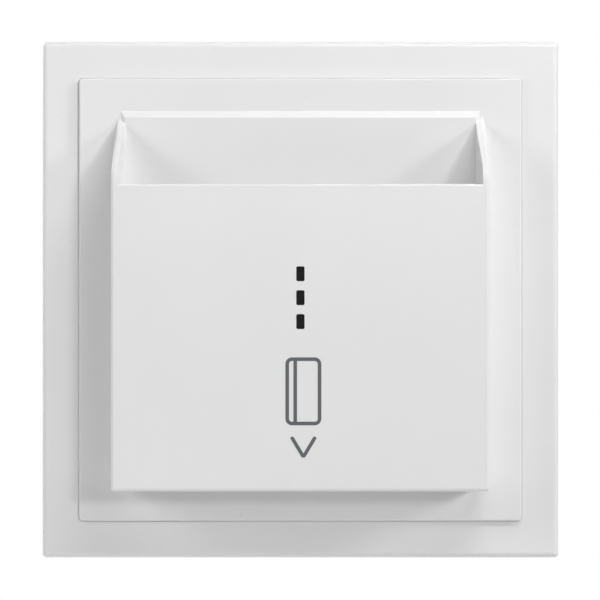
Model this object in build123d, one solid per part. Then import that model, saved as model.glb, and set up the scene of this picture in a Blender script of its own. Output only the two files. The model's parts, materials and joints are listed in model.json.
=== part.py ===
"""Hotel key card switch for a 60 mm wall box, in millimetres.

X runs to the right, Y into the wall and Z up. The wall's face is at Y = 0, and the origin is the
centre of the box screws. The front looks towards -Y.
"""

import os
from math import atan2, cos, degrees, hypot, pi, radians, sin

from build123d import *

# General
wall_y = 0.0
overrun = 1.0
seat_gap = 0.1
fine_gap = 0.05
play = 0.25

# Outer frame
frame_border = 5.9
frame_depth = 9.0
frame_wall = 2.0
frame_band = 2.0
frame_corner = 0.6
frame_edge = 0.9
frame_inner_wall = 1.6
frame_ledge_width = 1.8
frame_ledge = 1.6
frame_ledge_drop = 3.6
frame_rib = 1.0
frame_rib_height = 3.0
frame_rib_pitch = 15.0
frame_ribs_a_side = 5
frame_pad_length = 6.0
frame_pad_pitch = 40.0

# Centre plate of the pocket cover
plate_size = 70.2
plate_proud = 0.8
plate_wall = 1.8
plate_corner = 0.6
plate_edge = 0.3
skirt_wall = 1.4
cover_gap = 0.1

# Card pocket
pocket_width = 58.3
pocket_depth = 12.4
pocket_wall = 1.5
pocket_floor = 29.5
pocket_edge = 0.5
lip_height = 17.8
lip_edge = 0.35
cheek_root = 28.4
cheek_tip = 19.9
cheek_root_radius = 1.6
cheek_tip_radius = 2.5
cheek_wall_root = 1.4
cheek_wall_tip = 1.05
panel_proud = 0.6
panel_top = 28.8
panel_bevel = 1.1
panel_bevel_spread = 0.7

# Card guides: ribs on the front wall, ramps on the back wall
guide_rib = 1.1
front_rib_depth = 3.8
front_rib_top = 12.0
front_rib_full = 4.0
front_rib_places = (6.4, 15.6, 25.0)
ramp_depth = 1.5
ramp_top = 8.0
ramp_full = -16.0
ramp_places = (10.8, 21.0)

# Indicator windows and their lens
window_width = 1.28
window_height = 2.3
window_pitch = 3.68
window_corner = 0.25
window_count = 3
window_centre = 0.3
lens_sunk = 0.35
lens_plate = 1.0
lens_margin = 1.7
lens_rim = 0.8
lens_rim_height = 1.5

# Clip legs of the cover
clip_inset = 3.5
clip_z = 10.0
clip_width = 5.0
clip_wall = 1.4
clip_hook = 0.8
clip_hook_length = 2.2
clip_tip_wall = 0.9
clip_slot_gap = 0.3

# Steel support plate
support_side_gap = 3.5
support_plate_wall = 1.2
support_corner_cut = 7.0
box_screw_spacing = 60.0
box_slot_radius = 1.8
box_slot_length = 6.4

# Mechanism housing
box_circle = 54.0
housing_wall = 1.7
housing_floor = 1.8
housing_rim = 4.4
flange_wall = 1.5
flange_rim = 1.5
flange_corner = 3.0
tab_width = 9.0
tab_margin = 2.5
tab_corner = 2.5
support_screw_x = 12.0
support_screw_inset = 2.9
support_screw_radius = 1.25
support_screw_head = 2.2
support_screw_head_height = 1.5
support_screw_tail = 1.0
boss_radius = 2.7
boss_x = 17.0
boss_z = 15.5
boss_bore_depth = 12.0

# Mechanism cover
lid_wall = 1.8
lid_spigot = 1.5
lid_spigot_wall = 1.2
nose_window_width = 9.6
cover_screw_radius = 1.1
cover_screw_head = 2.0
cover_screw_head_height = 1.0
cover_screw_length = 11.0
screw_slot = 0.5
screw_slot_depth = 0.6
peg_radius = 1.0
peg_length = 4.0

# Lever, its pin and its spring
pivot_y = 0.5
pivot_z = -3.5
lever_swing = 16.0
lever_width = 8.0
lever_hub = 2.7
lever_bore_gap = 0.06
nose_tip_gap = 0.4
nose_tip_z = -16.0
nose_tip_radius = 0.8
nose_top_z = -10.5
nose_top_y = -12.5
nose_top_radius = 12.0
nose_root_z = -9.15
nose_root_radius = 6.0
nose_bottom_z = -17.6
nose_bottom_y = -9.0
nose_bottom_radius = 10.0
nose_heel_z = -14.9
nose_heel_radius = 8.0
lever_web = 2.4
lever_rim = 1.3
press_arm = 6.0
press_reach = 2.4
press_radius = 1.2
pin_radius = 1.0
ear_wall = 2.0
ear_inner = 8.4
ear_radius = 2.4
pin_overhang = 0.3
spring_wire = 0.5
spring_radius = 1.9
spring_turns = 2.75
spring_side_gap = 0.5
spring_leg = 6.6
spring_rest_leg = 4.2
spring_peg_radius = 0.8
spring_shelf = 1.2

# Light pipe and circuit board
pipe_width = 3.0
pipe_height = 8.8
pipe_foot = 3.0
pipe_flange_width = 6.0
pipe_flange_margin = 1.2
pipe_flange = 0.8
pipe_gap = 0.15
pipe_sunk = 0.1
board_wall = 1.6
board_side_gap = 1.8
board_bottom = 1.0
board_top = 12.4
led_z = 4.4
led_radius = 1.5
led_base_radius = 1.9
led_base = 0.8
led_height = 2.6
post_radius = 1.3
board_post_x = 12.0
board_post_z = 9.0
board_shelf_width = 3.4
board_shelf_depth = 6.0
board_shelf_wall = 1.4
resistor_radius = 1.2
resistor_length = 6.5
resistor_z = 9.6
diode_radius = 0.9
diode_length = 4.0
diode_z = 5.6
component_lead = 0.3
component_lead_reach = 2.0
lead_radius = 0.65
lead_side_gap = 3.0
lead_z = 4.0
lead_rise = 2.8
lead_bend = 1.4

# Contact unit
switch_width = 25.0
switch_front = 6.4
switch_depth = 10.4
switch_wall = 1.4
switch_side_wall = 1.2
switch_height = 6.6
switch_lid_wall = 1.2
plunger_width = 3.0
plunger_height = 2.4
plunger_gap = 0.06
plunger_flange = 0.7
plunger_flange_side = 0.8
plunger_round = 0.6
plunger_tail_round = 1.4
blade_wall = 0.4
blade_height = 3.2
blade_front = 9.6
blade_overhang = 1.5
blade_pin_radius = 0.4
blade_eye_wall = 0.45
blade_bore_gap = 0.05
blade_window_margin = 0.55
blade_window_height = 1.3
contact_inset = 4.1
contact_radius = 1.2
moving_contact_height = 0.7
fixed_contact_height = 0.6
closed_gap = 0.1
strip_wall = 0.6
strip_width = 3.6
strip_pad_length = 3.8
blade_spring_wire = 0.35
blade_spring_radius = 1.25
blade_spring_turns = 4
blade_spring_x = -3.0
spring_stub_radius = 0.9
spring_stub_length = 1.0
snap_leg = 0.8
snap_leg_width = 2.4
snap_hook = 0.35
snap_hook_length = 0.8
switch_post_inset = 2.0
switch_post_length = 3.4
switch_rib = 1.6

# Terminals
terminal_gap = 0.66
terminal_pitch = 10.5
terminal_width = 7.0
terminal_height = 6.9
terminal_length = 8.8
terminal_bevel = 0.6
wire_bore_radius = 1.9
wire_bore_depth = 7.4
wire_bore_rise = 3.9
partition_wall = 1.2
partition_depth = 10.0
partition_rise = 1.0
terminal_screw_radius = 1.5
terminal_screw_head = 2.0
terminal_screw_gap = 0.05
terminal_screw_room = 0.3
terminal_screw_short = 0.1

# Levels along Y, worked out from the sizes above
frame_face = wall_y - frame_depth
plate_face = frame_face - plate_proud
pocket_face = plate_face - pocket_depth
pocket_inner = pocket_face + pocket_wall
panel_face = plate_face - panel_proud
back_wall_rear = panel_face + pocket_wall
front_rib_face = pocket_inner + front_rib_depth
support_face = wall_y - support_plate_wall
ledge_rear = support_face - frame_ledge_drop + frame_ledge
ledge_face = support_face - frame_ledge_drop
flange_face = support_face - flange_wall
rim_face = wall_y - housing_rim
lid_face = rim_face - lid_wall
switch_rear = switch_front + switch_depth
floor_inner = switch_rear + switch_post_length
housing_depth = floor_inner + housing_floor
board_face = wall_y - board_wall
board_rear = wall_y

# Widths and heights worked out from the sizes above
frame_size = plate_size + 2 * frame_border
support_size = frame_size - 2 * (frame_wall + support_side_gap)
frame_opening = plate_size + 2 * cover_gap
half_pocket = pocket_width / 2
half_mouth_root = half_pocket - cheek_wall_root
half_mouth_tip = half_pocket - cheek_wall_tip
pocket_floor_inner = pocket_wall - pocket_floor
switch_z = pivot_z - press_arm + switch_height / 2 + plunger_gap
switch_bottom = switch_z - switch_height
terminal_top = switch_bottom - terminal_gap
terminal_bottom = terminal_top - terminal_height
housing_inner = -2 * terminal_bottom
housing_size = housing_inner + 2 * housing_wall
board_width = housing_inner - 2 * board_side_gap
flange_size = housing_size + 2 * flange_rim
support_screw_z = housing_size / 2 + support_screw_inset
tab_reach = support_screw_z + tab_margin
clip_x = housing_size / 2 + clip_inset
pin_reach = ear_inner + ear_wall + pin_overhang
nose_tip_y = pocket_inner + nose_tip_gap
switch_post_x = switch_width / 2 - switch_post_inset
contact_x = switch_width / 2 - contact_inset
blade_pivot_x = -contact_x
blade_end_x = contact_x + blade_overhang
blade_window_length = contact_x - contact_radius - plunger_width / 2 - 2 * blade_window_margin
switch_floor = switch_bottom + switch_side_wall
switch_roof = switch_z - switch_lid_wall
blade_bottom = switch_floor + strip_wall + seat_gap
blade_rear = blade_front + blade_wall
blade_pivot_y = blade_front + blade_wall / 2
blade_z = blade_bottom + blade_height / 2
terminal_face = floor_inner - terminal_length
wire_z = terminal_bottom + wire_bore_rise
plunger_tip = pivot_y + press_reach + press_radius + seat_gap
plunger_tail = blade_front - seat_gap
lead_x = switch_width / 2 + lead_side_gap
lead_y = (switch_rear + floor_inner) / 2
lead_drop_z = terminal_top + lead_rise


def turned(y, z, angle):
    """The place of a point of the lever, given from its pin, once the lever has turned."""
    a = radians(angle)
    return y * cos(a) - z * sin(a), y * sin(a) + z * cos(a)


pressed_y, pressed_z = turned(press_reach, -press_arm, lever_swing)
plunger_travel = pressed_y - press_reach
plunger_z = pivot_z + (pressed_z - press_arm) / 2
blade_swing = degrees(atan2(plunger_travel, -blade_pivot_x))
contact_arm = contact_x - blade_pivot_x
contact_travel = (contact_arm + contact_radius) * sin(radians(blade_swing))
fixed_contact_face = blade_rear + moving_contact_height + contact_travel + closed_gap
load_strip_face = fixed_contact_face + fixed_contact_height


def span(x, y, z):
    """A block between two corners, given as (low, high) along each axis."""
    size = [high - low for low, high in (x, y, z)]
    middle = [(high + low) / 2 for low, high in (x, y, z)]
    return Pos(*middle) * Box(*size)


def slab(sketch, front, rear):
    """A sketch of X and Z, extruded from one Y to another."""
    return extrude(Plane.XZ.offset(-rear) * sketch, rear - front)


def side_slab(points, half_width, middle=0.0):
    """A closed outline of (Y, Z) points, extruded across X."""
    outline = make_face(Polyline(*points, close=True))
    return Pos(middle - half_width, 0, 0) * extrude(Plane.YZ * outline, 2 * half_width)


def rounded(width, height, radius):
    return RectangleRounded(width, height, radius)


def along_y(radius, front, rear, x=0.0, z=0.0):
    """A cylinder along Y."""
    turn = Location((x, (front + rear) / 2, z), (90, 0, 0))
    return turn * Cylinder(radius, rear - front)


def along_x(radius, low, high, y, z):
    """A cylinder along X."""
    turn = Location(((low + high) / 2, y, z), (0, 90, 0))
    return turn * Cylinder(radius, high - low)


def along_z(radius, low, high, x, y):
    """A cylinder along Z."""
    return Pos(x, y, (low + high) / 2) * Cylinder(radius, high - low)


def mirrored(places):
    """The same distance to both sides."""
    return [sign * place for place in places for sign in (-1, 1)]


def four(x, z):
    """Four places round the middle."""
    return [(i * x, j * z) for i in (-1, 1) for j in (-1, 1)]


def ring(outer, inner, corner, front, rear):
    """A square ring."""
    return slab(rounded(outer, outer, corner), front, rear) - slab(
        Rectangle(inner, inner), front - overrun, rear + overrun
    )


# Frame and support plate


def outer_frame():
    body = slab(rounded(frame_size, frame_size, frame_corner), frame_face, wall_y)
    body = fillet(body.faces().sort_by(Axis.Y)[0].edges(), frame_edge)
    inner_wall_outer = frame_opening + 2 * frame_inner_wall
    skirt_inner = frame_size - 2 * frame_wall
    body -= ring(skirt_inner, inner_wall_outer, frame_corner, frame_face + frame_band, wall_y)
    body -= slab(Rectangle(skirt_inner, skirt_inner), support_face, wall_y + overrun)
    body -= slab(Rectangle(frame_opening, frame_opening), frame_face - overrun, wall_y + overrun)
    ledge_inner = frame_opening - 2 * frame_ledge_width
    body += ring(inner_wall_outer - frame_inner_wall, ledge_inner, frame_corner, ledge_face, ledge_rear)
    return body + frame_ribs(inner_wall_outer / 2, skirt_inner / 2) + frame_pads(ledge_inner / 2)


def frame_ribs(inner, outer):
    """Stiffening ribs behind the band, between the inner wall and the skirt."""
    front = frame_face + frame_band / 2
    rear = frame_face + frame_band + frame_rib_height
    ribs = Part()
    first = -frame_rib_pitch * (frame_ribs_a_side - 1) / 2
    for i in range(frame_ribs_a_side):
        place = first + i * frame_rib_pitch
        along = (place - frame_rib / 2, place + frame_rib / 2)
        for low, high in ((-outer - frame_wall / 2, -inner + frame_inner_wall / 2),
                          (inner - frame_inner_wall / 2, outer + frame_wall / 2)):
            ribs += span((low, high), (front, rear), along)
            ribs += span(along, (front, rear), (low, high))
    return ribs


def frame_pads(inner):
    """Pads that carry the ledge on the support plate."""
    outer = frame_opening / 2 + frame_inner_wall / 2
    pads = Part()
    for place in mirrored([frame_pad_pitch / 2]):
        along = (place - frame_pad_length / 2, place + frame_pad_length / 2)
        for low, high in ((-outer, -inner), (inner, outer)):
            pads += span((low, high), (ledge_face, support_face), along)
            pads += span(along, (ledge_face, support_face), (low, high))
    return pads


def housing_outline(grown=0.0):
    """The tub's outline: a square with its corners on the box's circle."""
    size = housing_size + 2 * grown
    return Rectangle(size, size) & Circle(box_circle / 2 + grown)


def support_plate():
    blank = chamfer(Rectangle(support_size, support_size).vertices(), support_corner_cut)
    plate = slab(blank, support_face, wall_y)
    plate -= through_plate(housing_outline(play))
    slot = SlotOverall(box_slot_length, 2 * box_slot_radius)
    for sign in (-1, 1):
        reach = sign * box_screw_spacing / 2
        plate -= through_plate(Pos(reach, 0) * slot)
        plate -= through_plate(Pos(0, reach) * Rot(0, 0, 90) * slot)
    clip_slot = Rectangle(clip_wall + 2 * clip_slot_gap, clip_width + 2 * clip_slot_gap)
    for x, z in four(clip_x, clip_z):
        plate -= through_plate(Pos(x, z) * clip_slot)
    for x, z in four(support_screw_x, support_screw_z):
        plate -= through_plate(Pos(x, z) * Circle(support_screw_radius + seat_gap))
    return plate


def through_plate(sketch):
    return slab(sketch, support_face - overrun, wall_y + overrun)


def screw(radius, head_radius, head_height, length, slot_width, slot_depth):
    """A cheese-head screw along Y, its head towards -Y, with the seat of the head at 0."""
    body = along_y(head_radius, -head_height, 0) + along_y(radius, -slot_depth, length)
    slot = span(
        (-head_radius - overrun, head_radius + overrun),
        (-head_height - overrun, slot_depth - head_height),
        (-slot_width / 2, slot_width / 2),
    )
    return body - slot


def support_screws():
    length = flange_wall + support_plate_wall + support_screw_tail
    one = screw(support_screw_radius, support_screw_head, support_screw_head_height, length,
                screw_slot, screw_slot_depth)
    return [Pos(x, flange_face, z) * one for x, z in four(support_screw_x, support_screw_z)]


# Pocket cover


def pocket_block():
    """The pocket's outer form, from the back wall to the front, seen from the side."""
    root = plate_face + plate_wall / 2
    top = panel_top + panel_bevel
    corners = [
        (root, top),
        (plate_face, top),
        (plate_face, cheek_root),
        (pocket_face, cheek_tip),
        (pocket_face, -pocket_floor),
        (root, -pocket_floor),
    ]
    outline = make_face(Polyline(*corners, close=True))
    points = outline.vertices()
    outline = fillet([nearest(points, plate_face, cheek_root)], cheek_root_radius)
    outline = fillet([nearest(outline.vertices(), pocket_face, cheek_tip)], cheek_tip_radius)
    block = Pos(-half_pocket, 0, 0) * extrude(Plane.YZ * outline, pocket_width)
    outer = [
        e for e in block.edges()
        if e.center().Y < plate_face - panel_proud and (
            abs(abs(e.center().X) - half_pocket) < frame_corner
            or abs(e.center().Z + pocket_floor) < frame_corner
        )
    ]
    return fillet(outer, pocket_edge)


def nearest(points, x, y):
    """The corner of a flat outline that is nearest to a place."""
    return min(points, key=lambda v: hypot(v.X - x, v.Y - y))


def pocket_space():
    """The room inside the pocket: the mouth and the slot for the card."""
    root = mouth_sketch(half_mouth_root, pocket_floor_inner, panel_top + panel_bevel)
    tip = mouth_sketch(half_mouth_tip, pocket_floor_inner, panel_top + panel_bevel)
    return loft([at_y(root, panel_face), at_y(tip, pocket_inner)])


def mouth_sketch(half_width, low, high):
    return Pos(0, (low + high) / 2) * Rectangle(2 * half_width, high - low)


def at_y(sketch, y):
    return Plane.XZ.offset(-y) * sketch


def back_panel():
    """The pocket's back, raised above the plate, with a bevel along its top and sides."""
    face = mouth_sketch(half_mouth_root, -pocket_floor, panel_top)
    root = mouth_sketch(half_mouth_root + panel_bevel_spread, -pocket_floor, panel_top + panel_bevel)
    panel = loft([at_y(face, panel_face), at_y(root, plate_face)])
    return panel + slab(root, plate_face, plate_face + plate_wall / 2)


def lip_cut():
    """What is open above the front wall's lip, between the cheeks."""
    width = 2 * half_mouth_tip
    height = cheek_root - lip_height
    opening = Pos(0, lip_height + height / 2) * Rectangle(width, height)
    return slab(opening, pocket_face - overrun, pocket_inner)


def pocket_cover():
    skirt_rear = ledge_face
    plate = slab(rounded(plate_size, plate_size, plate_corner), plate_face, skirt_rear)
    plate = fillet(plate.faces().sort_by(Axis.Y)[0].edges(), plate_edge)
    inner = plate_size - 2 * skirt_wall
    plate -= slab(Rectangle(inner, inner), plate_face + plate_wall, skirt_rear + overrun)
    cover = plate + pocket_block() + back_panel() - (pocket_space() + lip_cut())
    cover -= span((-half_mouth_root, half_mouth_root), (back_wall_rear, plate_face + plate_wall),
                  (pocket_floor_inner, panel_top))
    lip = [
        e for e in cover.edges().filter_by(Axis.X)
        if abs(e.center().Z - lip_height) < seat_gap and e.center().Y < pocket_inner + seat_gap
    ]
    cover = fillet(lip, lip_edge)
    cover = cover + front_guides() + back_ramps() + lens_rims() + clip_legs()
    cover -= indicator_windows() + nose_opening(panel_face, back_wall_rear)
    return cover - span(
        (-pipe_width / 2 - pipe_gap, pipe_width / 2 + pipe_gap),
        (panel_face - overrun, back_wall_rear + overrun),
        (window_centre - pipe_height / 2 - pipe_gap, window_centre + pipe_height / 2 + pipe_gap),
    )


def front_guides():
    """Ribs that the card slides on, with a lead-in at their tops."""
    root = pocket_inner - pocket_wall / 2
    outline = [
        (root, front_rib_top),
        (pocket_inner, front_rib_top),
        (front_rib_face, front_rib_full),
        (front_rib_face, pocket_floor_inner - pocket_wall / 2),
        (root, pocket_floor_inner - pocket_wall / 2),
    ]
    ribs = Part()
    for place in mirrored(front_rib_places):
        ribs += side_slab(outline, guide_rib / 2, place)
    return ribs


def back_ramps():
    """Ramps that lead the card forward to the ribs as it goes down."""
    root = panel_face + pocket_wall / 2
    face = panel_face - ramp_depth
    outline = [
        (root, ramp_top),
        (panel_face, ramp_top),
        (face, ramp_full),
        (face, pocket_floor_inner - pocket_wall / 2),
        (root, pocket_floor_inner - pocket_wall / 2),
    ]
    ramps = Part()
    for place in mirrored(ramp_places):
        ramps += side_slab(outline, guide_rib / 2, place)
    return ramps


def window_places():
    first = window_centre - window_pitch * (window_count - 1) / 2
    return [first + i * window_pitch for i in range(window_count)]


def indicator_windows():
    cuts = Part()
    for z in window_places():
        opening = Pos(0, z) * rounded(window_width, window_height, window_corner)
        cuts += slab(opening, pocket_face - overrun, pocket_inner + overrun)
    return cuts


def lens_size():
    """Width and height of the lens's plate."""
    reach = window_pitch * (window_count - 1) + window_height
    return window_width + 2 * lens_margin, reach + 2 * lens_margin


def lens_rims():
    """Two low walls that the lens snaps between."""
    width, height = lens_size()
    rims = Part()
    for sign in (-1, 1):
        inner = width / 2 + fine_gap
        low, high = sorted((sign * inner, sign * (inner + lens_rim)))
        rims += span((low, high), (pocket_inner - pocket_wall / 2, pocket_inner + lens_rim_height),
                     (window_centre - height / 2, window_centre + height / 2))
    return rims


def indicator_lens():
    width, height = lens_size()
    lens = slab(Pos(0, window_centre) * rounded(width, height, window_corner), pocket_inner,
                pocket_inner + lens_plate)
    for z in window_places():
        prong = rounded(window_width - 2 * fine_gap, window_height - 2 * fine_gap,
                        window_corner - fine_gap)
        lens += slab(Pos(0, z) * prong, pocket_face + lens_sunk, pocket_inner + lens_plate / 2)
    return lens


def clip_legs():
    """Four legs whose hooks catch behind the support plate."""
    tip = wall_y + seat_gap + clip_hook_length
    legs = Part()
    for sign in (-1, 1):
        inner = clip_x - clip_wall / 2
        outer = clip_x + clip_wall / 2
        points = [
            (sign * inner, back_wall_rear - pocket_wall / 2),
            (sign * outer, back_wall_rear - pocket_wall / 2),
            (sign * outer, wall_y + seat_gap),
            (sign * (outer + clip_hook), wall_y + seat_gap),
            (sign * (inner + clip_tip_wall), tip),
            (sign * inner, tip),
        ]
        outline = make_face(Polyline(*points, close=True))
        for z in mirrored([clip_z]):
            legs += Pos(0, 0, z - clip_width / 2) * extrude(outline, clip_width, dir=(0, 0, 1))
    return legs


def nose_opening(front, rear):
    """The window that the lever's nose passes through in a wall, clear of its whole swing."""
    half = nose_window_width / 2
    top = lever_top_at(rear) + play
    bottom = lever_bottom_at(front) - 2 * play
    return span((-half, half), (front - overrun, rear + overrun), (bottom, top))


# Mechanism housing and its cover


def tub_bosses():
    return four(boss_x, boss_z)


def mechanism_housing():
    tub = slab(housing_outline(), rim_face, housing_depth)
    tub += flange()
    tub -= slab(housing_outline(-housing_wall), rim_face - overrun, floor_inner)
    inside = slab(housing_outline(-housing_wall / 2), rim_face, floor_inner + housing_floor / 2)
    tub += inside & (housing_bosses() + terminal_partitions() + board_shelves() + switch_seats())
    for x, z in tub_bosses():
        bore = cover_screw_radius if x * z < 0 else peg_radius + fine_gap
        tub -= along_y(bore, rim_face - overrun, rim_face + boss_bore_depth, x, z)
    for i in (-1, 0, 1):
        x = i * terminal_pitch
        tub -= along_y(wire_bore_radius, floor_inner - overrun, housing_depth + overrun, x, wire_z)
        tub -= along_z(terminal_screw_head + terminal_screw_room,
                       terminal_bottom - housing_wall - overrun, terminal_bottom, x, terminal_screw_y())
    return tub


def flange():
    """The flange that lies on the support plate, with four screw tabs."""
    base = slab(rounded(flange_size, flange_size, flange_corner), flange_face, support_face)
    for x, z in four(support_screw_x, support_screw_z):
        low, high = sorted((0.0, z / abs(z) * tab_reach))
        tab = Pos(x, (low + high) / 2) * rounded(tab_width, high - low, tab_corner)
        base += slab(tab, flange_face, support_face)
    for x, z in four(support_screw_x, support_screw_z):
        base -= along_y(support_screw_radius + seat_gap, flange_face - overrun,
                        support_face + overrun, x, z)
    return base


def housing_bosses():
    """Corner bosses for the cover's screws and pegs."""
    bosses = Part()
    for x, z in tub_bosses():
        bosses += along_y(boss_radius, rim_face + lid_spigot + play, floor_inner + overrun, x, z)
    return bosses


def terminal_partitions():
    """Walls between the terminals."""
    walls = Part()
    for x in mirrored([terminal_pitch / 2]):
        walls += span((x - partition_wall / 2, x + partition_wall / 2),
                      (floor_inner - partition_depth, floor_inner + overrun),
                      (terminal_bottom - overrun, terminal_top - partition_rise))
    return walls


def board_shelves():
    """Brackets at the sides of the tub that the circuit board lies on."""
    reach = housing_size / 2
    shelves = Part()
    for sign in (-1, 1):
        low, high = sorted((sign * (reach - housing_wall - board_shelf_width), sign * reach))
        for z in (board_bottom + board_shelf_wall, board_top - board_shelf_wall):
            shelves += span((low, high), (board_rear, board_rear + board_shelf_depth),
                            (z - board_shelf_wall / 2, z + board_shelf_wall / 2))
    return shelves


def switch_seats():
    """Posts behind the contact unit and ribs beside it."""
    seats = Part()
    middle = (switch_z + switch_bottom) / 2 + switch_side_wall
    for x in mirrored([switch_post_x]):
        seats += along_y(post_radius, switch_rear, floor_inner + overrun, x, middle)
    reach = housing_size / 2
    for sign in (-1, 1):
        low, high = sorted((sign * (switch_width / 2 + play), sign * reach))
        front = switch_front + switch_wall + snap_leg_width + play
        seats += span((low, high), (front, switch_rear - switch_wall),
                      (middle - switch_rib / 2, middle + switch_rib / 2))
    return seats


def mechanism_cover():
    cover = slab(housing_outline(), lid_face, rim_face)
    spigot = slab(housing_outline(-housing_wall - seat_gap), rim_face, rim_face + lid_spigot)
    spigot -= slab(housing_outline(-housing_wall - lid_spigot_wall), rim_face - overrun,
                   rim_face + lid_spigot + overrun)
    spigot -= span((-nose_window_width / 2, nose_window_width / 2),
                   (rim_face - overrun, rim_face + lid_spigot + overrun),
                   (-housing_size / 2, nose_heel_z))
    cover += spigot + lever_ears() + cover_posts()
    cover -= nose_opening(lid_face, rim_face)
    cover -= span(
        (-pipe_width / 2 - pipe_gap, pipe_width / 2 + pipe_gap),
        (lid_face - overrun, rim_face + overrun),
        (led_z - pipe_foot / 2 - pipe_gap, led_z + pipe_foot / 2 + pipe_gap),
    )
    for x, z in tub_bosses():
        if x * z < 0:
            cover -= along_y(cover_screw_radius + seat_gap, lid_face - overrun, rim_face + overrun,
                             x, z)
            cover -= along_y(cover_screw_head + seat_gap, lid_face - overrun,
                             lid_face + cover_screw_head_height, x, z)
        else:
            cover += along_y(peg_radius, rim_face - lid_wall / 2,
                             rim_face + lid_spigot + peg_length, x, z)
    return cover


def lever_ears():
    """Two ears that carry the lever's pin, and the shelf for the spring's resting leg."""
    ears = Part()
    for sign in (-1, 1):
        low, high = sorted((sign * ear_inner, sign * (ear_inner + ear_wall)))
        ear = along_x(ear_radius, low, high, pivot_y, pivot_z)
        ear += span((low, high), (rim_face - lid_wall / 2, pivot_y),
                    (pivot_z - ear_radius, pivot_z + ear_radius))
        ears += ear
    ears -= along_x(pin_radius, -pin_reach, pin_reach, pivot_y, pivot_z)
    leg_top = pivot_z - spring_radius + spring_wire / 2
    ears += span(
        (spring_outer_x() - spring_shelf, ear_inner + ear_wall / 2),
        (rim_face - lid_wall / 2, pivot_y - spring_rest_leg + spring_shelf),
        (leg_top, leg_top + spring_shelf),
    )
    return ears


def cover_posts():
    """Posts that hold the board and the contact unit down."""
    posts = Part()
    for x in mirrored([board_post_x]):
        posts += along_y(post_radius, rim_face - lid_wall / 2, board_face, x, board_post_z)
    middle = (switch_z + switch_bottom) / 2 + switch_side_wall / 2
    for x in mirrored([switch_post_x]):
        posts += along_y(post_radius, rim_face - lid_wall / 2, switch_front, x, middle)
    return posts


def cover_screws():
    one = screw(cover_screw_radius, cover_screw_head, cover_screw_head_height, cover_screw_length,
                screw_slot, screw_slot_depth)
    seat = lid_face + cover_screw_head_height
    return [Pos(x, seat, z) * one for x, z in tub_bosses() if x * z < 0]


# Lever


def lever_top():
    """The lever's upper edge from the hub to the nose, as (Y, Z) points with a radius."""
    return [
        ((pivot_y - lever_hub + lever_rim / 2, pivot_z - lever_rim), 0.0),
        ((lid_face, nose_root_z), nose_root_radius),
        ((nose_top_y, nose_top_z), nose_top_radius),
        ((nose_tip_y, nose_tip_z + nose_tip_radius), nose_tip_radius - fine_gap),
    ]


def lever_bottom():
    """The lever's lower edge from the nose to the arm that presses the plunger."""
    return [
        ((nose_tip_y, nose_tip_z - nose_tip_radius), nose_tip_radius - fine_gap),
        ((nose_bottom_y, nose_bottom_z), nose_bottom_radius),
        ((pivot_y - lever_hub, nose_heel_z), nose_heel_radius),
        ((pivot_y + press_reach, pivot_z - press_arm - press_radius), 0.0),
    ]


def lever_back():
    """The lever's rear edge, from the arm up to the hub."""
    return [
        ((pivot_y + press_reach, pivot_z - press_arm + press_radius), 0.0),
        ((pivot_y + lever_hub - fine_gap, pivot_z), 0.0),
    ]


def lever_outline():
    """The lever seen from the side, with its corners rounded."""
    corners = lever_top() + lever_bottom() + lever_back()
    outline = make_face(Polyline(*[point for point, radius in corners], close=True))
    for point, radius in corners:
        if radius:
            outline = fillet([nearest(outline.vertices(), *point)], radius)
    return outline


def edge_heights(corners, y, angle):
    """The heights at a given Y of the lines through an edge's stretches, after a turn."""
    places = [turned(py - pivot_y, pz - pivot_z, angle) for (py, pz), radius in corners]
    heights = []
    for (y1, z1), (y2, z2) in zip(places, places[1:]):
        share = (y - pivot_y - y1) / (y2 - y1)
        heights.append(pivot_z + z1 + share * (z2 - z1))
    return heights


def lever_top_at(y):
    """The height of the lever's upper edge at rest, at a given Y behind its nose's top."""
    hub_stretch, nose_stretch = edge_heights(lever_top()[:-1], y, 0)
    return max(hub_stretch, nose_stretch)


def lever_bottom_at(y):
    """The height of the lever's lower edge at the end of its swing, at a given Y."""
    return max(edge_heights(lever_bottom()[:-1], y, lever_swing))


def card_lever():
    outline = lever_outline()
    half = lever_width / 2
    lever = Pos(-half, 0, 0) * extrude(Plane.YZ * outline, lever_width)
    lever -= lever_side_pockets(outline)
    lever += along_x(lever_hub, -half, half, pivot_y, pivot_z)
    lever += along_x(press_radius, -half, half, pivot_y + press_reach, pivot_z - press_arm)
    lever += along_x(spring_peg_radius, 0, spring_inner_x() + spring_wire, *spring_peg_place())
    return lever - along_x(pin_radius + lever_bore_gap, -pin_reach, pin_reach, pivot_y, pivot_z)


def lever_side_pockets(outline):
    """Pockets in both sides, which leave a rim and a middle web."""
    inner = offset(outline, -lever_rim)
    pockets = Part()
    depth = (lever_width - lever_web) / 2
    for low in (-lever_width / 2 - overrun, lever_web / 2):
        pockets += Pos(low, 0, 0) * extrude(Plane.YZ * inner, depth + overrun)
    hub_room = along_x(lever_hub, -lever_width, lever_width, pivot_y, pivot_z)
    return pockets - hub_room


def lever_pin():
    return along_x(pin_radius, -pin_reach, pin_reach, pivot_y, pivot_z)


def spring_inner_x():
    """Where the spring's coil starts, beside the lever."""
    return lever_width / 2 + spring_side_gap + spring_wire / 2


def spring_outer_x():
    """Where the spring's coil ends, beside the ear."""
    return ear_inner - spring_side_gap - spring_wire / 2


def spring_peg_place():
    """Y and Z of the lever's peg, which the spring's moving leg pushes forward."""
    y = pivot_y - spring_radius - spring_wire / 2 - spring_peg_radius
    return y, pivot_z - spring_leg + 2 * spring_peg_radius


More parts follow.
